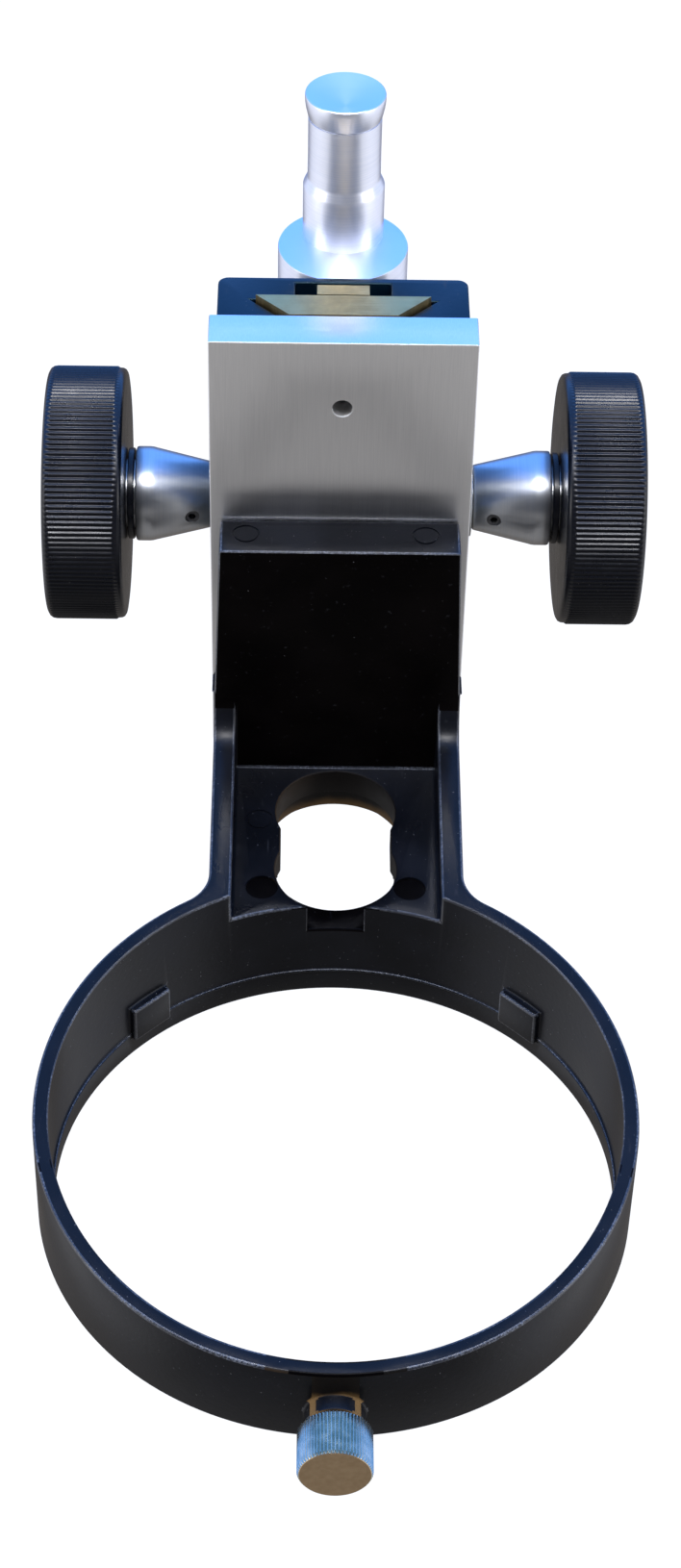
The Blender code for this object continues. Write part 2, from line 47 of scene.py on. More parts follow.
forward = Vector((math.sin(heading) * math.cos(dip), math.cos(heading) * math.cos(dip),
                  -math.sin(dip)))
level = forward.cross(Vector((0, 0, 1))).normalized()
upward = level.cross(forward)
side = level * math.cos(roll) + upward * math.sin(roll)
head = upward * math.cos(roll) - level * math.sin(roll)
camera.matrix_world = (Matrix.Translation((-0.00756, -0.52842, 0.34492))
                       @ Matrix((side, head, -forward)).transposed().to_4x4())
camera_data.sensor_width = 36
camera_data.lens = 72.7
camera_data.clip_start = 0.01
camera_data.clip_end = 60
bpy.context.scene.camera = camera
bpy.context.scene.view_settings.view_transform = "Standard"


class Value:
    """One socket of a node tree, so that shader maths is written as sums."""

    def __init__(self, nodes, socket):
        self.nodes = nodes
        self.socket = socket

    def maths(self, operation, first, second):
        return self.nodes.add("ShaderNodeMath", {"operation": operation}, {0: first, 1: second})

    def __add__(self, other):
        return self.maths("ADD", self, other)

    def __radd__(self, other):
        return self.maths("ADD", other, self)

    def __sub__(self, other):
        return self.maths("SUBTRACT", self, other)

    def __rsub__(self, other):
        return self.maths("SUBTRACT", other, self)

    def __mul__(self, other):
        return self.maths("MULTIPLY", self, other)

    def __rmul__(self, other):
        return self.maths("MULTIPLY", other, self)


class Nodes:
    """Adds nodes to a tree: the node's settings first, then values or links for its sockets."""

    def __init__(self, tree):
        self.tree = tree

    def add(self, kind, settings=None, sockets=None, output=0):
        node = self.tree.nodes.new(kind)
        for name, setting in (settings or {}).items():
            setattr(node, name, setting)
        for name, value in (sockets or {}).items():
            if isinstance(value, Value):
                self.tree.links.new(value.socket, node.inputs[name])
            else:
                node.inputs[name].default_value = value
        return Value(self, node.outputs[output]) if node.outputs else None

    def split(self, place):
        """The three parts of a vector."""
        node = self.tree.nodes.new("ShaderNodeSeparateXYZ")
        self.tree.links.new(place.socket, node.inputs[0])
        return [Value(self, socket) for socket in node.outputs]

    def step(self, value, start, end, low=0.0, high=1.0):
        """A smooth change from low to high while value goes from start to end."""
        return self.add("ShaderNodeMapRange", {"interpolation_type": "SMOOTHSTEP"},
                        {"Value": value, "From Min": start, "From Max": end, "To Min": low,
                         "To Max": high})

    def mix(self, factor, first, second):
        """A colour between two colours."""
        return self.add("ShaderNodeMix", {"data_type": "RGBA"}, {0: factor, 6: first, 7: second}, 2)

    def noise(self, place, scale, detail=3.0, roughness=0.5):
        return self.add("ShaderNodeTexNoise", {}, {"Vector": place, "Scale": scale,
                                                   "Detail": detail, "Roughness": roughness})

    def stretched(self, place, scale, turn=(0, 0, 0)):
        """Coordinates stretched by a scale along each axis, after a turn in radians."""
        return self.add("ShaderNodeMapping", {},
                        {"Vector": place, "Scale": scale, "Rotation": turn})


world = bpy.data.worlds.new("studio")
bpy.context.scene.world = world
world.use_nodes = True
world.node_tree.nodes.clear()
room = Nodes(world.node_tree)
east, north, height = room.split(room.add("ShaderNodeTexCoord", output="Generated"))
# a dim wall stands before the mount, a blue sky above and behind it, and both sides are pale
dim_wall = (0.08, 0.085, 0.10, 1)
sky = (0.27, 0.72, 2.0, 1)
pale = (0.95, 0.96, 1.02, 1)
front_ground = (0.31, 0.305, 0.31, 1)
back_ground = (0.20, 0.185, 0.175, 1)
ground = room.mix(room.step(north, -0.25, 0.3), front_ground, back_ground)
above = room.mix(room.step(north + height * 0.7, -0.1, 0.55), dim_wall, sky)
surround = room.mix(room.step(height, -0.12, 0.12), ground, above)
sideways = room.add("ShaderNodeMath", {"operation": "ABSOLUTE"}, {0: east})
side_glow = room.step(sideways, 0.52, 0.72) * room.step(height, 0.35, 0.0)
surround = room.mix(side_glow, surround, pale)
background = room.add("ShaderNodeBackground", {}, {"Color": surround, "Strength": 1.0})
room.add("ShaderNodeOutputWorld", {}, {"Surface": background})


def add_panel(name, place, aim, width, depth, power, colour):
    """A soft light panel at a place, facing a point."""
    data = bpy.data.lights.new(name, "AREA")
    data.shape = "RECTANGLE"
    data.size = width
    data.size_y = depth
    data.energy = power
    data.color = colour
    lamp = bpy.data.objects.new(name, data)
    bpy.context.scene.collection.objects.link(lamp)
    lamp.location = place
    lamp.rotation_euler = (Vector(aim) - Vector(place)).to_track_quat("-Z", "Y").to_euler()


add_panel("overhead_panel", (0, -0.40, 1.15), (0, -0.05, -0.05), 1.70, 0.50, 11.0, (1, 0.98, 0.96))
add_panel("overhead_lamp", (0, -0.42, 1.10), (0, -0.05, -0.05), 0.34, 0.14, 5.5, (1, 0.98, 0.97))
add_panel("left_panel", (-1.2, -0.5, 0.35), (0, -0.1, -0.05), 0.7, 0.7, 5, (1, 0.99, 0.97))
add_panel("right_panel", (1.2, -0.5, 0.35), (0, -0.1, -0.05), 0.7, 0.7, 5, (1, 0.99, 0.97))

# the floor lies well below the ring, and a pale shell stands far behind it
floor_height = -0.30
bpy.ops.object.select_all(action="DESELECT")
bpy.ops.mesh.primitive_plane_add(size=16, location=(0, 0, floor_height))
floor = bpy.context.object
floor.name = "floor"
bpy.ops.mesh.primitive_uv_sphere_add(segments=48, ring_count=24, radius=9)
shell = bpy.context.object
shell.name = "shell"
for stage_piece in (floor, shell):
    material = bpy.data.materials.new(stage_piece.name + "_white")
    material.use_nodes = True
    shader = material.node_tree.nodes["Principled BSDF"]
    shader.inputs["Base Color"].default_value = (0.04, 0.04, 0.04, 1)
    shader.inputs["Roughness"].default_value = 0.9
    shader.inputs["Emission Color"].default_value = (1, 1, 1, 1)
    shader.inputs["Emission Strength"].default_value = 1.0
    stage_piece.data.materials.append(material)
    stage_piece.visible_glossy = False
    stage_piece.visible_diffuse = False
    stage_piece.visible_shadow = False


# ------------------------------------------------------------------ housing
# Cast aluminium block in black stoving enamel. The dovetail way and the rack's slot are milled
# through it from top to bottom, and the pinion's bore crosses it.
MM = 0.001


def trace(name, points, plane="XY", level=0.0):
    """Draws an outline point by point in a plane and fills it. Millimetres."""
    spots = {"XY": lambda u, v: (u, v, level), "YZ": lambda u, v: (level, u, v),
             "XZ": lambda u, v: (u, level, v)}[plane]
    path = [Vector(spots(u, v)) * MM for u, v in points]
    bpy.ops.object.select_all(action="DESELECT")
    bpy.ops.mesh.primitive_plane_add(size=MM, location=path[0])
    obj = bpy.context.object
    obj.name = name
    bpy.ops.object.transform_apply(location=True, rotation=True, scale=True)
    bpy.ops.object.mode_set(mode="EDIT")
    bpy.ops.mesh.select_all(action="SELECT")
    bpy.ops.mesh.merge(type="CENTER")
    for before, after in zip(path, path[1:]):
        bpy.ops.mesh.extrude_vertices_move(TRANSFORM_OT_translate={"value": after - before})
    bpy.ops.mesh.select_all(action="SELECT")
    bpy.ops.mesh.edge_face_add()
    bpy.ops.object.mode_set(mode="OBJECT")
    return obj


def pull(obj, shift):
    """Extrudes all of a flat piece by a shift in millimetres and turns its faces outwards."""
    bpy.context.view_layer.objects.active = obj
    bpy.ops.object.mode_set(mode="EDIT")
    bpy.ops.mesh.select_all(action="SELECT")
    bpy.ops.mesh.extrude_region_move(TRANSFORM_OT_translate={"value": Vector(shift) * MM})
    bpy.ops.mesh.select_all(action="SELECT")
    bpy.ops.mesh.normals_make_consistent(inside=False)
    bpy.ops.object.mode_set(mode="OBJECT")
    return obj


def block(name, low, high):
    """A rectangular block between two corners in millimetres."""
    bpy.ops.object.select_all(action="DESELECT")
    middle = (Vector(low) + Vector(high)) / 2 * MM
    bpy.ops.mesh.primitive_cube_add(size=1, location=middle,
                                    scale=(Vector(high) - Vector(low)) * MM)
    obj = bpy.context.object
    obj.name = name
    bpy.ops.object.transform_apply(location=True, rotation=True, scale=True)
    return obj


TURNS = {"Z": (0, 0, 0), "X": (0, math.radians(90), 0), "-X": (0, math.radians(-90), 0),
         "Y": (math.radians(-90), 0, 0)}


def settle(obj, axis, place):
    """Turns a piece made along Z to its own axis, moves it to its place and applies both."""
    bpy.ops.object.select_all(action="DESELECT")
    obj.select_set(True)
    bpy.context.view_layer.objects.active = obj
    obj.rotation_euler = TURNS[axis]
    obj.location = Vector(place) * MM
    bpy.ops.object.transform_apply(location=True, rotation=True, scale=True)
    return obj


def lathe(name, outline, sides=96, axis="Z", place=(0, 0, 0), hollow=False):
    """Turns a piece: a circle is drawn out from one (radius, height) to the next."""
    bpy.ops.object.select_all(action="DESELECT")
    radius, rise = outline[0]
    bpy.ops.mesh.primitive_circle_add(vertices=sides, radius=radius * MM,
                                      fill_type="NOTHING" if hollow else "NGON",
                                      location=(0, 0, rise * MM))
    obj = bpy.context.object
    obj.name = name
    bpy.ops.object.transform_apply(location=True, rotation=True, scale=True)
    bpy.ops.object.mode_set(mode="EDIT")
    bpy.ops.mesh.select_all(action="SELECT")
    for (radius, rise), (new_radius, new_rise) in zip(outline, outline[1:]):
        grow = new_radius / radius
        bpy.ops.mesh.extrude_region_move(
            TRANSFORM_OT_translate={"value": (0, 0, (new_rise - rise) * MM)})
        bpy.ops.transform.resize(value=(grow, grow, 1), center_override=(0, 0, new_rise * MM))
    if hollow:
        bpy.ops.mesh.select_all(action="DESELECT")
        bpy.ops.mesh.select_mode(type="EDGE")
        bpy.ops.mesh.select_non_manifold()
        bpy.ops.mesh.bridge_edge_loops()
        bpy.ops.mesh.select_mode(type="VERT")
    bpy.ops.mesh.select_all(action="SELECT")
    bpy.ops.mesh.normals_make_consistent(inside=False)
    bpy.ops.object.mode_set(mode="OBJECT")
    return settle(obj, axis, place)


def rod(name, radius, low, high, sides=48, axis="Z", place=(0, 0, 0)):
    return lathe(name, [(radius, low), (radius, high)], sides, axis, place)


def carve(obj, tool, operation="DIFFERENCE"):
    """Cuts a tool out of a piece, or joins it on, and removes the tool."""
    modifier = obj.modifiers.new("carve", "BOOLEAN")
    modifier.operation = operation
    modifier.solver = "EXACT"
    modifier.object = tool
    bpy.ops.object.select_all(action="DESELECT")
    bpy.context.view_layer.objects.active = obj
    bpy.ops.object.modifier_apply(modifier="carve")
    bpy.data.objects.remove(tool, do_unlink=True)


def soften(obj, width, angle=35, segments=3, edge_finish=None, smooth=28):
    """Rounds the edges of a piece that are sharper than an angle, then smooths its shading."""
    bpy.ops.object.select_all(action="DESELECT")
    obj.select_set(True)
    bpy.context.view_layer.objects.active = obj
    bpy.ops.object.mode_set(mode="EDIT")
    bpy.ops.mesh.select_all(action="SELECT")
    bpy.ops.mesh.remove_doubles(threshold=0.02 * MM)
    bpy.ops.object.mode_set(mode="OBJECT")
    if width:
        bevel = obj.modifiers.new("edges", "BEVEL")
        bevel.width = width * MM
        bevel.segments = segments
        bevel.limit_method = "ANGLE"
        bevel.angle_limit = math.radians(angle)
        bevel.use_clamp_overlap = False
        if edge_finish is not None:
            bevel.material = edge_finish
        bpy.ops.object.modifier_apply(modifier="edges")
    bpy.ops.object.shade_smooth_by_angle(angle=math.radians(smooth))
    return obj


def finished(obj, body, slot, *materials, replaces=None):
    """Gives a piece its materials, its body and the solid that it stands for. The slot argument is
    not used.
    """
    for made in materials:
        obj.data.materials.append(made)
    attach(obj, body)
    if replaces:
        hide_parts(replaces)


def new_material(name, roughness, metallic, **constants):
    """A material with its shader, its Nodes and the object's coordinates."""
    material = bpy.data.materials.new(name)
    material.use_nodes = True
    shader = material.node_tree.nodes["Principled BSDF"]
    shader.inputs["Roughness"].default_value = roughness
    shader.inputs["Metallic"].default_value = metallic
    for socket, value in constants.items():
        shader.inputs[socket.replace("_", " ")].default_value = value
    nodes = Nodes(material.node_tree)
    place = nodes.add("ShaderNodeTexCoord", output="Object")
    return material, shader, nodes, place


def connect(nodes, shader, **values):
    for socket, value in values.items():
        nodes.tree.links.new(value.socket, shader.inputs[socket.replace("_", " ")])


def bump(nodes, height, distance, strength=1.0):
    """A surface normal from a height between 0 and 1, over a distance in millimetres."""
    return nodes.add("ShaderNodeBump", {}, {"Strength": strength, "Distance": distance * MM,
                                            "Height": height})


def black_enamel(name, gloss, colour, grain=1.0, rough=0.27, dusty=0.765):
    """Semi-gloss black enamel with a faint orange peel, thin dust and a few fine rubs."""
    material, shader, nodes, place = new_material(name, rough, 0.0, Specular_IOR_Level=gloss)
    peel = nodes.noise(place, 850.0, 2.0)
    cloud = nodes.noise(place, 70.0, 4.0)
    grained = nodes.stretched(place, (900, 120, 900), (0.3, 0.2, 0.6))
    rubs = nodes.step(nodes.noise(grained, 1.0, 3.0), 0.66, 0.78)
    dust = nodes.step(nodes.noise(place, 2400.0, 1.0), dusty, dusty + 0.035)
    tone = nodes.mix(nodes.step(cloud, 0.35, 0.75), (*colour, 1), (*[c * 2 for c in colour], 1))
    tone = nodes.mix(rubs * 0.2, tone, (0.05, 0.05, 0.055, 1))
    tone = nodes.mix(dust * 0.6, tone, (0.20, 0.20, 0.20, 1))
    connect(nodes, shader, Base_Color=tone,
            Roughness=rough + nodes.step(cloud, 0.3, 0.7) * 0.07 + rubs * 0.12 + dust * 0.2,
            Normal=bump(nodes, peel, 0.018 * grain))
    return material


slab_half, slab_back, slab_front, slab_top, slab_low = 24.0, -17.4, -31.4, 0.8, -75.4
way_front, way_back, way_bottom, slot_half, slot_bottom = 11.3, 17.9, -24.8, 9.2, -19.1
corner = 2.0
rounded = [(slab_half - corner + corner * math.sin(math.radians(a)),
            slab_back - corner + corner * math.cos(math.radians(a))) for a in range(90, -1, -15)]
right_side = [(slot_half, slot_bottom), (slot_half, way_bottom), (way_back, way_bottom),
              (way_front, slab_front), (slab_half, slab_front)] + rounded
housing = pull(trace("housing", right_side + [(-x, y) for x, y in reversed(right_side)],
                     level=slab_low), (0, 0, slab_top - slab_low))
carve(housing, block("rear_block", (-slab_half, -18.9, slab_low), (slab_half, 8.3, -20.3)), "UNION")
post_y = 1.6
pinion_place = (0, -13.67, -54.8)
carve(housing, rod("pinion_bore", 8.6, -30, 30, 64, "X", pinion_place))
carve(housing, rod("screw_hole", 3.3, -45, -15, 32, place=(0, post_y, 0)))
carve(housing, rod("screw_well", 5.4, -80, -34, 48, place=(0, post_y, 0)))
for plug_height in (-18, -64):
    carve(housing, rod("plug_hole", 2.3, 13.5, 26, 32, "X", (0, -28.2, plug_height)))
soften(housing, 0.35)
# black enamel whose blue tone and blue specular tint are a painted reflection of the sky
enamel = black_enamel("black_enamel", 0.45, (0.0005, 0.004, 0.010))
enamel.node_tree.nodes["Principled BSDF"].inputs["Specular Tint"].default_value = (0.45, 0.85, 1, 1)
finished(housing, "housing", "black_paint", enamel, replaces="focus_housing")


# ------------------------------------------------------------------ post
# Bright turned aluminium post with a waist that the stand's clamp screw sits in. It is turned
# from one bar with the collar below it, which stands forward of the post.
def turned_metal(name, colour, roughness, axis="Z", grain=1.0, tint=(0.9, 0.92, 0.95), spread=0):
    """Bright metal with the fine rings that a lathe tool leaves across one axis."""
    material, shader, nodes, place = new_material(name, roughness, 1.0, Anisotropic=spread,
                                                  Anisotropic_Rotation=0.25)
    along = {"Z": (25, 25, 4200), "X": (5200, 25, 25), "Y": (25, 5200, 25)}[axis]
    rings = nodes.noise(nodes.stretched(place, along), 1.0, 4.0, 0.6)
    bands = nodes.noise(nodes.stretched(place, tuple(v / 8 for v in along)), 1.0, 2.0)
    stain = nodes.noise(place, 160.0, 4.0)
    base = nodes.mix(nodes.step(rings, 0.3, 0.7), (*[c * t for c, t in zip(colour, tint)], 1),
                     (*colour, 1))
    connect(nodes, shader, Base_Color=base,
            Roughness=(roughness - 0.03) + nodes.step(rings, 0.3, 0.75) * (0.06 * grain)
            + (nodes.step(bands, 0.4, 0.7) * 0.03 + nodes.step(stain, 0.55, 0.8) * 0.05) * grain,
            Normal=bump(nodes, rings + bands * 0.6, 0.003 * grain))
    return material


post_outline = [(7.94, -3), (7.94, 10.9), (7.86, 11.15), (7.22, 12.6), (7.14, 12.8), (7.1, 13.2),
                (7.06, 18.0), (7.08, 25.5), (7.08, 25.98), (6.88, 26.04), (6.88, 26.2),
                (7.12, 26.26), (7.34, 27.2), (7.56, 28.2), (7.7, 29.2), (7.75, 29.9),
                (7.75, 30.66), (7.68, 30.86), (7.5, 31.0), (0.4, 31.0)]
post = lathe("post", post_outline, 128)
collar_y = -4.7
collar_outline = [(12.2, -20), (12.7, -19.5), (12.7, -0.35), (12.6, -0.1), (12.35, 0), (0.4, 0)]
carve(post, lathe("collar", collar_outline, 160, place=(0, collar_y, 0)), "UNION")
carve(post, rod("screw_hole", 3.3, -21, -7, 32, place=(0, post_y, 0)))
soften(post, 0)
post_metal = turned_metal("turned_aluminium", (0.86, 0.88, 0.96), 0.35, spread=0.6)
finished(post, "housing", "turned_aluminium", post_metal, replaces="mounting_post")


# ------------------------------------------------------------------ small steel pieces
# The screws that hold the mount together: socket heads and headless ones in blackened steel. They
# are the frame's own solids, given a finish here.
def plain_steel(name, colour, roughness):
    """Steel with a thin oxide: blotchy, slightly rough, with fine scratches."""
    material, shader, nodes, place = new_material(name, roughness, 1.0)
    blotch = nodes.noise(place, 420.0, 5.0, 0.6)
    scratch = nodes.noise(nodes.stretched(place, (4000, 500, 4000), (0.5, 0.3, 0.9)), 1.0, 2.0)
    worn = nodes.step(blotch, 0.45, 0.75)
    connect(nodes, shader,
            Base_Color=nodes.mix(worn, (*colour, 1), (*[min(1, c * 1.6) for c in colour], 1)),
            Roughness=(roughness - 0.06) + worn * 0.1 + nodes.step(scratch, 0.4, 0.7) * 0.08,
            Normal=bump(nodes, scratch, 0.006))
    return material


def refinish(node, material):
    """Gives a solid of the frame a finish."""
    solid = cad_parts[node]
    solid.data.materials.clear()
    solid.data.materials.append(material)


dark_steel = plain_steel("dark_steel", (0.12, 0.12, 0.125), 0.38)
for node in ["post_screw", "friction_screw_upper", "friction_screw_lower", "rack_screw_upper",
             "rack_screw_lower", "hub_set_screw_left", "hub_set_screw_right"]:
    refinish(node, dark_steel)
for number in range(1, 5):
    refinish("slide_screw_%d" % number, dark_steel)
    refinish("arm_screw_%d" % number, dark_steel)


# ------------------------------------------------------------------ bearings
# Oil-soaked bronze bushings carry the shaft at both ends. Nylon washers on the shaft and nylon
# plugs behind two headless screws give the focus its drag.
def sintered_bronze():
    """Bronze pressed from powder: brown, dull and full of tiny pores."""
    material, shader, nodes, place = new_material("sintered_bronze", 0.45, 1.0)
    pores = nodes.noise(place, 3500.0, 2.0)
    oil = nodes.noise(place, 200.0, 3.0)
    connect(nodes, shader,
            Base_Color=nodes.mix(nodes.step(oil, 0.35, 0.7), (0.30, 0.19, 0.09, 1),
                                 (0.46, 0.31, 0.16, 1)),
            Roughness=0.35 + nodes.step(oil, 0.3, 0.7) * 0.2, Normal=bump(nodes, pores, 0.02))
    return material


def nylon():
    """Natural nylon: milky, slightly yellow, with faint flow marks."""
    material, shader, nodes, place = new_material("nylon", 0.45, 0.0)
    flow = nodes.noise(nodes.stretched(place, (300, 900, 300)), 1.0, 3.0)
    connect(nodes, shader,
            Base_Color=nodes.mix(flow, (0.62, 0.60, 0.53, 1), (0.72, 0.71, 0.66, 1)),
            Roughness=0.4 + flow * 0.15, Normal=bump(nodes, flow, 0.01))
    return material


bronze, white_nylon = sintered_bronze(), nylon()
for end in ("left", "right"):
    refinish("pinion_bushing_" + end, bronze)
    refinish("friction_washer_" + end, white_nylon)
for end in ("upper", "lower"):
    refinish("friction_plug_" + end, white_nylon)


# ------------------------------------------------------------------ dovetail slide and rack
# Brass bar stock: the dovetail is milled along its flanks and sawn off at its ends, and the rack
# is cut to length with a fine burr left on its edges.
def milled_brass(name, colour, roughness):
    """Dull brass with tool marks along Z on its sides and cross marks on its sawn ends."""
    material, shader, nodes, place = new_material(name, roughness, 1.0)
    milling = nodes.noise(nodes.stretched(place, (2500, 2500, 60)), 1.0, 3.0)
    sawing = nodes.noise(nodes.stretched(place, (140, 3600, 200), (0, 0, 0.12)), 1.0, 3.0)
    tarnish = nodes.noise(place, 130.0, 5.0, 0.6)
    dull = nodes.step(tarnish, 0.35, 0.7)
    dark = tuple(c * 0.72 for c in colour)
    base = nodes.mix(dull, (*colour, 1), (*dark, 1))
    base = nodes.mix(nodes.step(sawing, 0.45, 0.75) * 0.4, base, (0.66, 0.52, 0.26, 1))
    connect(nodes, shader, Base_Color=base,
            Roughness=(roughness - 0.08) + dull * 0.12 + nodes.step(sawing, 0.4, 0.7) * 0.08,
            Normal=bump(nodes, milling + sawing, 0.012))
    return material


brass = milled_brass("milled_brass", (0.58, 0.42, 0.18), 0.42)
refinish("dovetail_slide", brass)
refinish("rack", brass)


# ------------------------------------------------------------------ plate
# Aluminium bar, brushed up and down on its face and sawn across its top, with broken edges. A
# small hole through its middle reaches the rack's upper screw.
def brushed_plate():
    """Brushed aluminium: fine streaks along Z, broad soft bands and small handling marks."""
    material, shader, nodes, place = new_material("brushed_aluminium", 0.3, 1.0,
                                                  Anisotropic=0.4)
    streaks = nodes.noise(nodes.stretched(place, (6500, 900, 90)), 1.0, 4.0, 0.65)
    bands = nodes.noise(nodes.stretched(place, (420, 420, 12)), 1.0, 2.0)
    marks = nodes.noise(nodes.stretched(place, (700, 700, 500), (0, 0.7, 0)), 1.0, 5.0, 0.7)
    smear = nodes.step(marks, 0.62, 0.8)
    base = nodes.mix(nodes.step(streaks, 0.3, 0.7), (0.88, 0.878, 0.872, 1),
                     (0.95, 0.945, 0.935, 1))
    base = nodes.mix(smear * 0.08, base, (0.5, 0.5, 0.5, 1))
    connect(nodes, shader, Base_Color=base,
            Roughness=0.30 + nodes.step(streaks, 0.3, 0.7) * 0.03
            + nodes.step(bands, 0.3, 0.7) * 0.02,
            Normal=bump(nodes, streaks + bands * 0.2, 0.0002))
    return material


plate = block("plate", (-25.4, -40.9, -97.9), (25.4, -31.9, 2.1))
soften(plate, 0.3)
chamfered_hole, plain_hole = [(2.1, -41.2), (1.8, -40.5), (1.8, -31)], [(1.8, -41.5), (1.8, -31)]
for rack_screw, hole in ((-12.9, chamfered_hole), (-86, plain_hole)):
    carve(plate, lathe("rack_hole", hole, 40, "Y", (0, 0, rack_screw)))
for x in (-8.5, 8.5):
    for z in (-22, -78):
        carve(plate, rod("slide_hole", 1.8, -38, -31, 32, "Y", (x, 0, z)))
stepped_hole = [(2.3, -42), (2.3, -36.5), (3.9, -36.5), (3.9, -31)]
arm_screws = [(x, 0, z) for x in (-18.5, 18.5) for z in (-50, -88)]
for arm_screw in arm_screws:
    carve(plate, lathe("arm_hole", stepped_hole, 32, "Y", arm_screw))
soften(plate, 0)
finished(plate, "carriage", "brushed_aluminium", brushed_plate(), replaces="carriage_plate")


# ------------------------------------------------------------------ arm and ring
# One aluminium casting in black enamel: a flange that is screwed to the plate, a channel-shaped
# arm and the ring that holds the pod. Its edges are rounded by the mould and rubbed bright. The
# bright line along the flange's foot is a painted highlight, and some faces carry painted shade.
ring_y, ring_outer, ring_bore, ring_low = -143.9, 55.7, 52.8, -119.5
slope = math.radians(6.55)
flange_front, flange_back = -51.2, -41.2
flange_top, rail_top, floor_top, floor_under = -39.7, -84.4, -96.1, -102.0


def rubbed_edge_and_highlight():
    """Enamel worn thin on an edge, with bare grey metal showing through in specks; on the concave
    foot of the flange it is a painted highlight.
    """
    material, shader, nodes, place = new_material("rubbed_edge_and_highlight", 0.35, 0.0,
                                                  Specular_IOR_Level=0.7)
    specks = nodes.step(nodes.noise(place, 2200.0, 3.0, 0.7), 0.42, 0.68)
    rubbed = nodes.step(nodes.noise(place, 90.0, 3.0), 0.35, 0.6)
    connect(nodes, shader,
            Base_Color=nodes.mix(specks * rubbed, (0.010, 0.011, 0.015, 1), (0.11, 0.12, 0.14, 1)),
            Roughness=0.28 + specks * 0.14, Normal=bump(nodes, specks, 0.02))
    return material


def rim_height(y):
    return rail_top + math.tan(slope) * (y - flange_front)


def arc(centre, radius, start, end, steps):
    """Points on an arc between two angles in degrees."""
    angles = [math.radians(start + (end - start) * i / steps) for i in range(steps + 1)]
    return [(centre[0] + radius * math.cos(a), centre[1] + radius * math.sin(a)) for a in angles]


arm_half, rail, fillet = 24.8, 4.4, 8.0
reach = math.sqrt((ring_outer + fillet) ** 2 - (arm_half + fillet) ** 2)
meet = math.degrees(math.atan2(reach, arm_half + fillet))
plan = [(-arm_half, flange_back - 4)]
plan += arc((-arm_half - fillet, ring_y + reach), fillet, 0, -meet, 10)
plan += arc((0, ring_y), ring_outer, 180 - meet, 270, 70)[1:]
plan += [(-x, y) for x, y in reversed(plan[:-1])]
casting = pull(trace("arm_casting", plan, level=ring_low), (0, 0, 43.5))
bottom = ring_low - 10
flange_shape = [(-23.4, flange_top), (-24.9, rail_top), (-24.9, bottom), (24.9, bottom),
                (24.9, rail_top), (23.4, flange_top)]
carve(casting, pull(trace("flange", flange_shape, "XZ", flange_front), (0, 10, 0)), "UNION")
round_y, round_z = flange_front - fillet, rim_height(flange_front - fillet) + fillet
trim = [(flange_front + 0.05, 0), (flange_front + 0.05, round_z)]
trim += arc((round_y, round_z), fillet, 0, -90 + math.degrees(slope), 14)[1:]
trim += [(ring_y - 70, rim_height(ring_y - 70)), (ring_y - 70, 0)]
carve(casting, pull(trace("top_trim", trim, "YZ", -70), (140, 0, 0)))
inside = arm_half - rail
carve(casting, block("channel", (-inside, ring_y, floor_top), (inside, flange_front, -55)))
flange_low = -109.1
under = [(flange_back + 1, bottom - 1), (flange_back + 1, flange_low), (flange_front, flange_low),
         (ring_y + 53, ring_low - 0.05), (ring_y + 53, bottom - 1)]
carve(casting, pull(trace("underside", under, "YZ", -40), (80, 0, 0)))
hole_back, hole_front, hole_radius = -64.2, -80.6, 12.0
pocket_back, pocket_front = -57, -72.6
pocket = [(-inside, pocket_back), (-inside, pocket_front)]
pocket += arc((0, pocket_front), 13.0, 180, 360, 32)
pocket += [(inside, pocket_front), (inside, pocket_back)]
pocket += arc((0, hole_back), 15.6, 27.5, 152.5, 28)
carve(casting, pull(trace("pocket", pocket, "XY", bottom), (0, 0, floor_under - bottom)))
dip = math.degrees(math.acos(11.0 / hole_radius))
lobes = arc((0, hole_back), hole_radius, -dip, 180 + dip, 40)
lobes += arc((0, hole_front), hole_radius, 180 - dip, 360 + dip, 40)
carve(casting, pull(trace("lobed_hole", lobes, "XY", floor_under - 0.6), (0, 0, 40)))
ledge_top = -113.7
bore_outline = [(ring_bore - 0.25, bottom), (ring_bore - 0.25, ledge_top - 0.15),
                (ring_bore - 0.1, ledge_top), (ring_bore, ledge_top), (ring_bore, -55)]
carve(casting, lathe("ring_bore", bore_outline, 192, place=(0, ring_y, 0)))
for turn in (-44, 44):
    pad = block("pad", (-4.7, ring_bore - 1.8, -114.8), (4.7, ring_bore + 1.2, -106.6))
    pad.rotation_euler = (0, 0, math.radians(turn))
    pad.location = (0, ring_y * MM, 0)
    bpy.ops.object.transform_apply(location=True, rotation=True, scale=True)
    carve(casting, pad, "UNION")
clamp_place = (0, 0, -112.1)
carve(casting, rod("boss", 5.35, -202.8, ring_y - ring_bore - 1, 64, "Y", clamp_place), "UNION")
carve(casting, rod("clamp_bore", 3.5, -204.8, ring_y - 40, 44, "Y", clamp_place))
for arm_screw in arm_screws:
    carve(casting, rod("screw_hole", 2.3, flange_back - 7, flange_back + 1, 32, "Y", arm_screw))


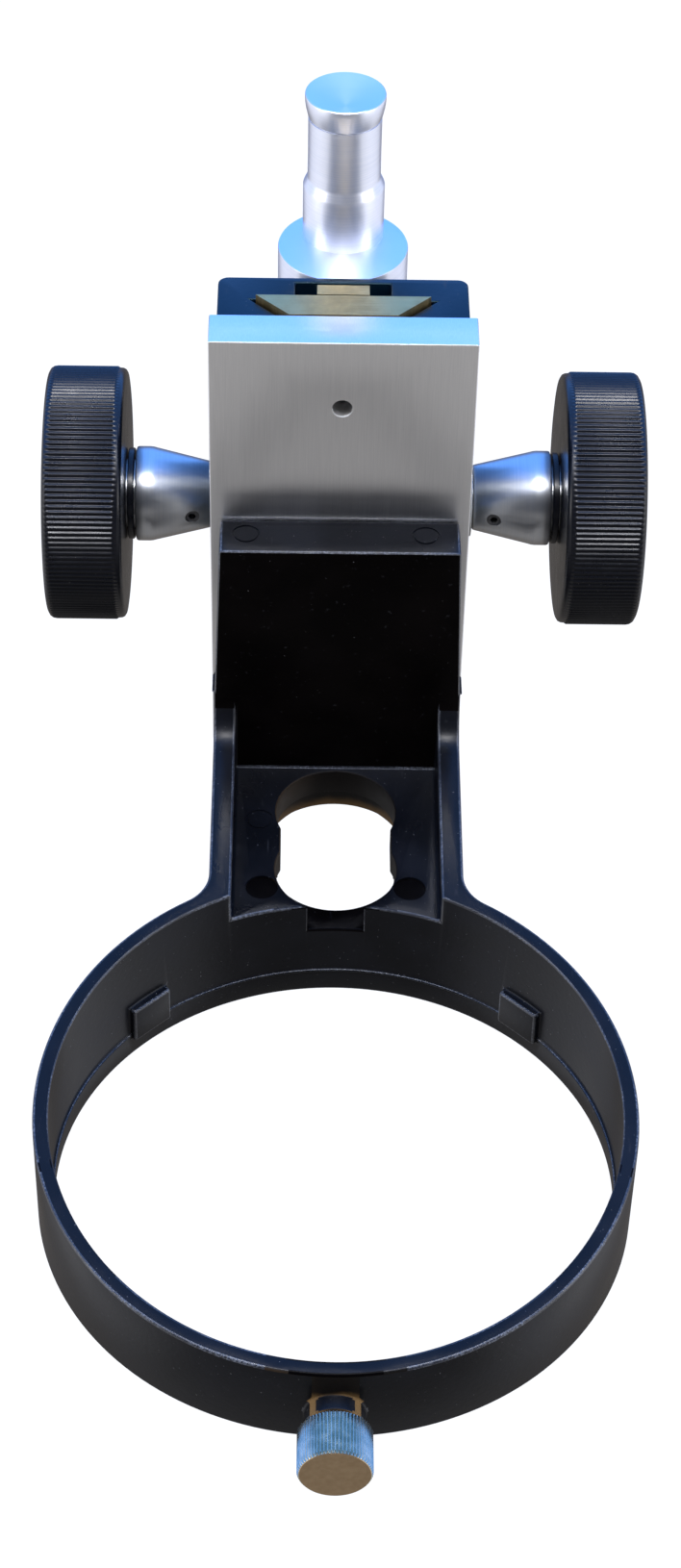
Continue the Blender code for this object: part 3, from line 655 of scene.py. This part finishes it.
def drilled_wall():
    """Brown-black enamel on the walls of the hole, lighter towards the left, with a painted
    warm-gold reflection towards the bottom.
    """
    material, shader, nodes, place = new_material("drilled_wall", 0.5, 0.0,
                                                  Specular_IOR_Level=0.15)
    across, height = nodes.split(place)[::2]
    blotch = nodes.noise(place, 260.0, 3.0)
    # painted reflection: a warm gold band low on the wall
    low = nodes.step(height + blotch * 0.002, -0.1050, -0.1078)
    left = nodes.step(across, -0.002, -0.013)
    colour = nodes.mix(left * 0.8, (0.004, 0.0028, 0.002, 1), (0.035, 0.022, 0.011, 1))
    connect(nodes, shader, Base_Color=nodes.mix(low, colour, (0.16, 0.092, 0.032, 1)),
            Roughness=0.45 + blotch * 0.2, Normal=bump(nodes, blotch, 0.03))
    return material


# the third enamel is darker and duller than the cast one: painted shade
CAST, RUBBED_AND_HIGHLIGHT, PAINTED_SHADE, DRILLED = range(4)
for made in (black_enamel("cast_enamel", 0.20, (0.0025, 0.0028, 0.004), 1.6), rubbed_edge_and_highlight(),
             black_enamel("painted_shade_enamel", 0.04, (0.0012, 0.0009, 0.0009), dusty=0.80),
             drilled_wall()):
    casting.data.materials.append(made)
soften(casting, 0.5, edge_finish=RUBBED_AND_HIGHLIGHT)
for mark_x, mark_y, mark_z, mark_r in ((-18.3, -45.5, flange_top, 2.7),
                                       (16.7, -45.5, flange_top, 2.7),
                                       (-15.3, -66.8, floor_top, 2.8)):
    carve(casting, lathe("pin_mark", [(mark_r, mark_z - 0.22), (mark_r, mark_z + 1),
                                      (mark_r - 0.45, mark_z + 1), (mark_r - 0.45, mark_z - 0.22)],
                         40, "Z", (mark_x, mark_y, 0), hollow=True))
recess_depth = 0.5
for mark_x in (-14.6, 14.6):
    carve(casting, rod("pin_recess", 3.2, floor_top - recess_depth, floor_top + 1, 40,
                       place=(mark_x, -86.1, 0)))
soften(casting, 0)
# only edges that stand out are rubbed, and the concave foot of the flange gets the rubbed finish as
# a painted highlight.
# The flange's front, the pin recesses and the notch under the hole get a darker, duller enamel as
# painted shade, and the walls of the hole a brown enamel with a painted gold reflection low down
centres = [Vector(face.center) for face in casting.data.polygons]
faces_of_edge = {}
for face in casting.data.polygons:
    for edge in face.edge_keys:
        faces_of_edge.setdefault(edge, []).append(face.index)
for face in casting.data.polygons:
    if face.material_index == RUBBED_AND_HIGHLIGHT:
        around = [other for edge in face.edge_keys for other in faces_of_edge[edge]]
        lean = sum((centres[other] - centres[face.index]).normalized().dot(face.normal)
                   for other in around if other != face.index)
        if lean > 0:
            face.material_index = CAST
    spot = centres[face.index] / MM
    # painted shade: the flange's front gets the darker, duller enamel
    if face.normal.y < -0.9 and abs(spot.y - flange_front) < 0.3:
        face.material_index = PAINTED_SHADE
    # painted shade: the pin recesses get the darker, duller enamel
    if face.normal.z > 0.9 and abs(spot.z - floor_top + recess_depth) < 0.1:
        face.material_index = PAINTED_SHADE
    off_bore = math.hypot(spot.x, spot.y - ring_y) - ring_bore
    if abs(spot.x) < 12.8 and off_bore > 0.3 and spot.y < -51.6 and -109 < spot.z < floor_top:
        face.material_index = DRILLED if abs(face.normal.z) < 0.8 else CAST
    # painted shade: the notch under the hole gets the darker, duller enamel
    if abs(spot.x) < 8.4 and 0.02 < off_bore < 6 and -104 < spot.z < floor_top - 0.2:
        face.material_index = PAINTED_SHADE
    if abs(spot.x) < 15.7 and -66 < spot.y < -48.2 and spot.z < floor_under + 0.1:
        face.material_index = DRILLED
    # painted highlight: the concave fillet at the flange's foot is given the bright rubbed finish
    if abs(spot.y - flange_front) < 0.55 and abs(spot.z - floor_top) < 0.55:
        face.material_index = RUBBED_AND_HIGHLIGHT
finished(casting, "carriage", "black_paint", replaces="arm_ring")


# ------------------------------------------------------------------ clamp
# Plated steel thumb screw with a straight knurl, and the brass tip on its end that presses on the
# pod without turning.
def plated_knurl():
    """Bright zinc plate, a little cloudy, and browner on the faced end."""
    material, shader, nodes, place = new_material("plated_steel", 0.25, 1.0)
    cloud = nodes.noise(place, 500.0, 4.0, 0.6)
    end_face = nodes.step(nodes.split(place)[1], -0.21235, -0.2125)
    faced = nodes.noise(place, 900.0, 3.0)
    metal = nodes.mix(nodes.step(cloud, 0.35, 0.7), (0.44, 0.44, 0.34, 1), (0.60, 0.58, 0.46, 1))
    brown = nodes.mix(faced, (0.42, 0.28, 0.15, 1), (0.62, 0.46, 0.28, 1))
    connect(nodes, shader, Base_Color=nodes.mix(end_face, metal, brown),
            Roughness=0.2 + nodes.step(cloud, 0.35, 0.7) * 0.1 + end_face * 0.15,
            Normal=bump(nodes, cloud, 0.006))
    return material


def flute(obj, centre, plane, count, depths, outside):
    """Cuts grooves along a turned piece. Each tooth has one column of vertices for every depth
    in the list, and those beyond a radius move inwards by that depth in millimetres."""
    bpy.ops.object.select_all(action="DESELECT")
    bpy.context.view_layer.objects.active = obj
    obj.select_set(True)
    places = []
    for vertex in obj.data.vertices:
        across = [(vertex.co[i] - centre[i]) / MM for i in plane]
        turn = math.atan2(across[1], across[0]) / math.tau * count * len(depths)
        places.append((math.hypot(*across), round(turn) % len(depths)))
    largest = max(radius for radius, column in places)
    for depth in sorted(set(depths) - {0}):
        bpy.ops.object.mode_set(mode="EDIT")
        bpy.ops.mesh.select_mode(type="VERT")
        bpy.ops.mesh.select_all(action="DESELECT")
        bpy.ops.object.mode_set(mode="OBJECT")
        for vertex, (radius, column) in zip(obj.data.vertices, places):
            vertex.select = radius > outside and depths[column] == depth
        bpy.ops.object.mode_set(mode="EDIT")
        shrink = [1 - depth / largest if i in plane else 1 for i in range(3)]
        bpy.ops.transform.resize(value=shrink, center_override=centre)
        bpy.ops.object.mode_set(mode="OBJECT")


thumb_outline = [(0.4, -212.5), (6.2, -212.5), (6.3, -212.4), (6.65, -212.0), (6.65, -204.1),
                 (6.3, -203.75), (6.0, -203.6), (3.17, -203.6), (3.17, -195.8), (1.5, -195.8),
                 (1.5, -198.9), (0.3, -198.9)]
thumb = lathe("thumb_screw_head", thumb_outline, 320, "Y", clamp_place)
flute(thumb, Vector(clamp_place) * MM, (0, 2), 64, (0, 0, 0.3, 0.45, 0.3), 6.5)
soften(thumb, 0)
finished(thumb, "thumb", "plated_steel", plated_knurl(), replaces="thumb_screw")
tip_outline = [(1.2, -198.3), (1.2, -195.5), (2.9, -195.5), (2.9, -192.9), (2.7, -192.45),
               (2.3, -192.3), (0.3, -192.3)]
tip = lathe("clamp_tip_turned", tip_outline, 48, "Y", clamp_place)
soften(tip, 0)
finished(tip, "tip", "brass", brass, replaces="clamp_tip")


# ------------------------------------------------------------------ pinion shaft
# Ground steel shaft that runs across the housing, with the pinion in its middle. It turns in the
# bushings and carries a hub on each end.
shaft_middle = (0.93, *pinion_place[1:])
shaft = lathe("shaft", [(3.4, -54), (3.97, -53.4), (3.97, 53.4), (3.4, 54), (0.4, 54)], 64, "X",
              shaft_middle)
soften(shaft, 0)
satin = turned_metal("satin_steel", (0.60, 0.61, 0.62), 0.33, "X", 0.1)
finished(shaft, "pinion", "satin_steel", satin, replaces="pinion_shaft")
refinish("pinion_gear", satin)


# ------------------------------------------------------------------ hubs
# Turned steel hubs that taper towards the housing, plated to a satin finish. A set screw holds
# each one on the shaft.
hub_outline = [(4.27, 26.45), (6.3, 26.45), (6.6, 26.6), (6.74, 27.0), (9.35, 37.9), (9.56, 38.7),
               (9.64, 39.4), (9.64, 41.75), (9.5, 42.08), (9.2, 42.2), (7.0, 42.2), (7.0, 56.1),
               (4.27, 56.1)]
for end, sign in (("left", -1), ("right", 1)):
    hub = lathe("hub_turned_" + end, hub_outline, 112, "X" if sign > 0 else "-X", shaft_middle,
                hollow=True)
    set_screw = (shaft_middle[0] + sign * 30.7, 0, shaft_middle[2])
    carve(hub, rod("screw_hole", 1.4, -26, -16, 32, "Y", set_screw))
    soften(hub, 0)
    finished(hub, "pinion", "satin_steel", satin, replaces="hub_" + end)


# ------------------------------------------------------------------ knobs
# Large knobs in black plastic with a fine straight rib round the rim, pushed on the hubs against
# a black collar.
def gloss_black():
    """Black plastic with a soft gloss, moulding ripple and light dust."""
    material, shader, nodes, place = new_material("black_plastic", 0.28, 0.0,
                                                  Specular_IOR_Level=0.4)
    ripple = nodes.noise(place, 240.0, 2.0)
    dust = nodes.step(nodes.noise(place, 2600.0, 1.0), 0.76, 0.8)
    colour = nodes.mix(dust * 0.5, (0.0025, 0.003, 0.0055, 1), (0.16, 0.15, 0.14, 1))
    connect(nodes, shader, Base_Color=colour,
            Roughness=0.27 + nodes.step(ripple, 0.35, 0.7) * 0.05 + dust * 0.3,
            Normal=bump(nodes, ripple, 0.01))
    return material


knob_outline = [(0.4, 56.4), (7.3, 56.4), (7.3, 44.1), (23.9, 44.1), (24.7, 44.2), (25.2, 44.5),
                (25.45, 45.0), (25.5, 45.7), (25.78, 46.1), (25.78, 58.3), (25.66, 59.0),
                (25.3, 59.55), (24.7, 59.88), (24.0, 59.95), (20.8, 59.95), (20.4, 59.8),
                (19.6, 58.7), (19.1, 58.35), (11.2, 58.35), (10.9, 58.1), (10.6, 58.1),
                (10.3, 58.35), (0.4, 58.35)]
spacer_outline = [(7.3, 42.5), (9.1, 42.5), (9.3, 42.7), (9.3, 43.6), (9.1, 43.8), (7.3, 43.8)]
plastic = gloss_black()
for end, sign in (("left", -1), ("right", 1)):
    axis = "X" if sign > 0 else "-X"
    spacer = lathe("knob_collar_" + end, spacer_outline, 96, axis, shaft_middle, hollow=True)
    soften(spacer, 0)
    finished(spacer, "pinion", "dark_steel", plastic, replaces="knob_spacer_" + end)
    knob = lathe("ribbed_knob_" + end, knob_outline, 900, axis, shaft_middle)
    flute(knob, Vector(shaft_middle) * MM, (1, 2), 150, (0, 0.12, 0.37, 0.50, 0.37, 0.12), 25.7)
    soften(knob, 0, smooth=62)
    finished(knob, "pinion", "black_plastic", plastic, replaces="knob_" + end)
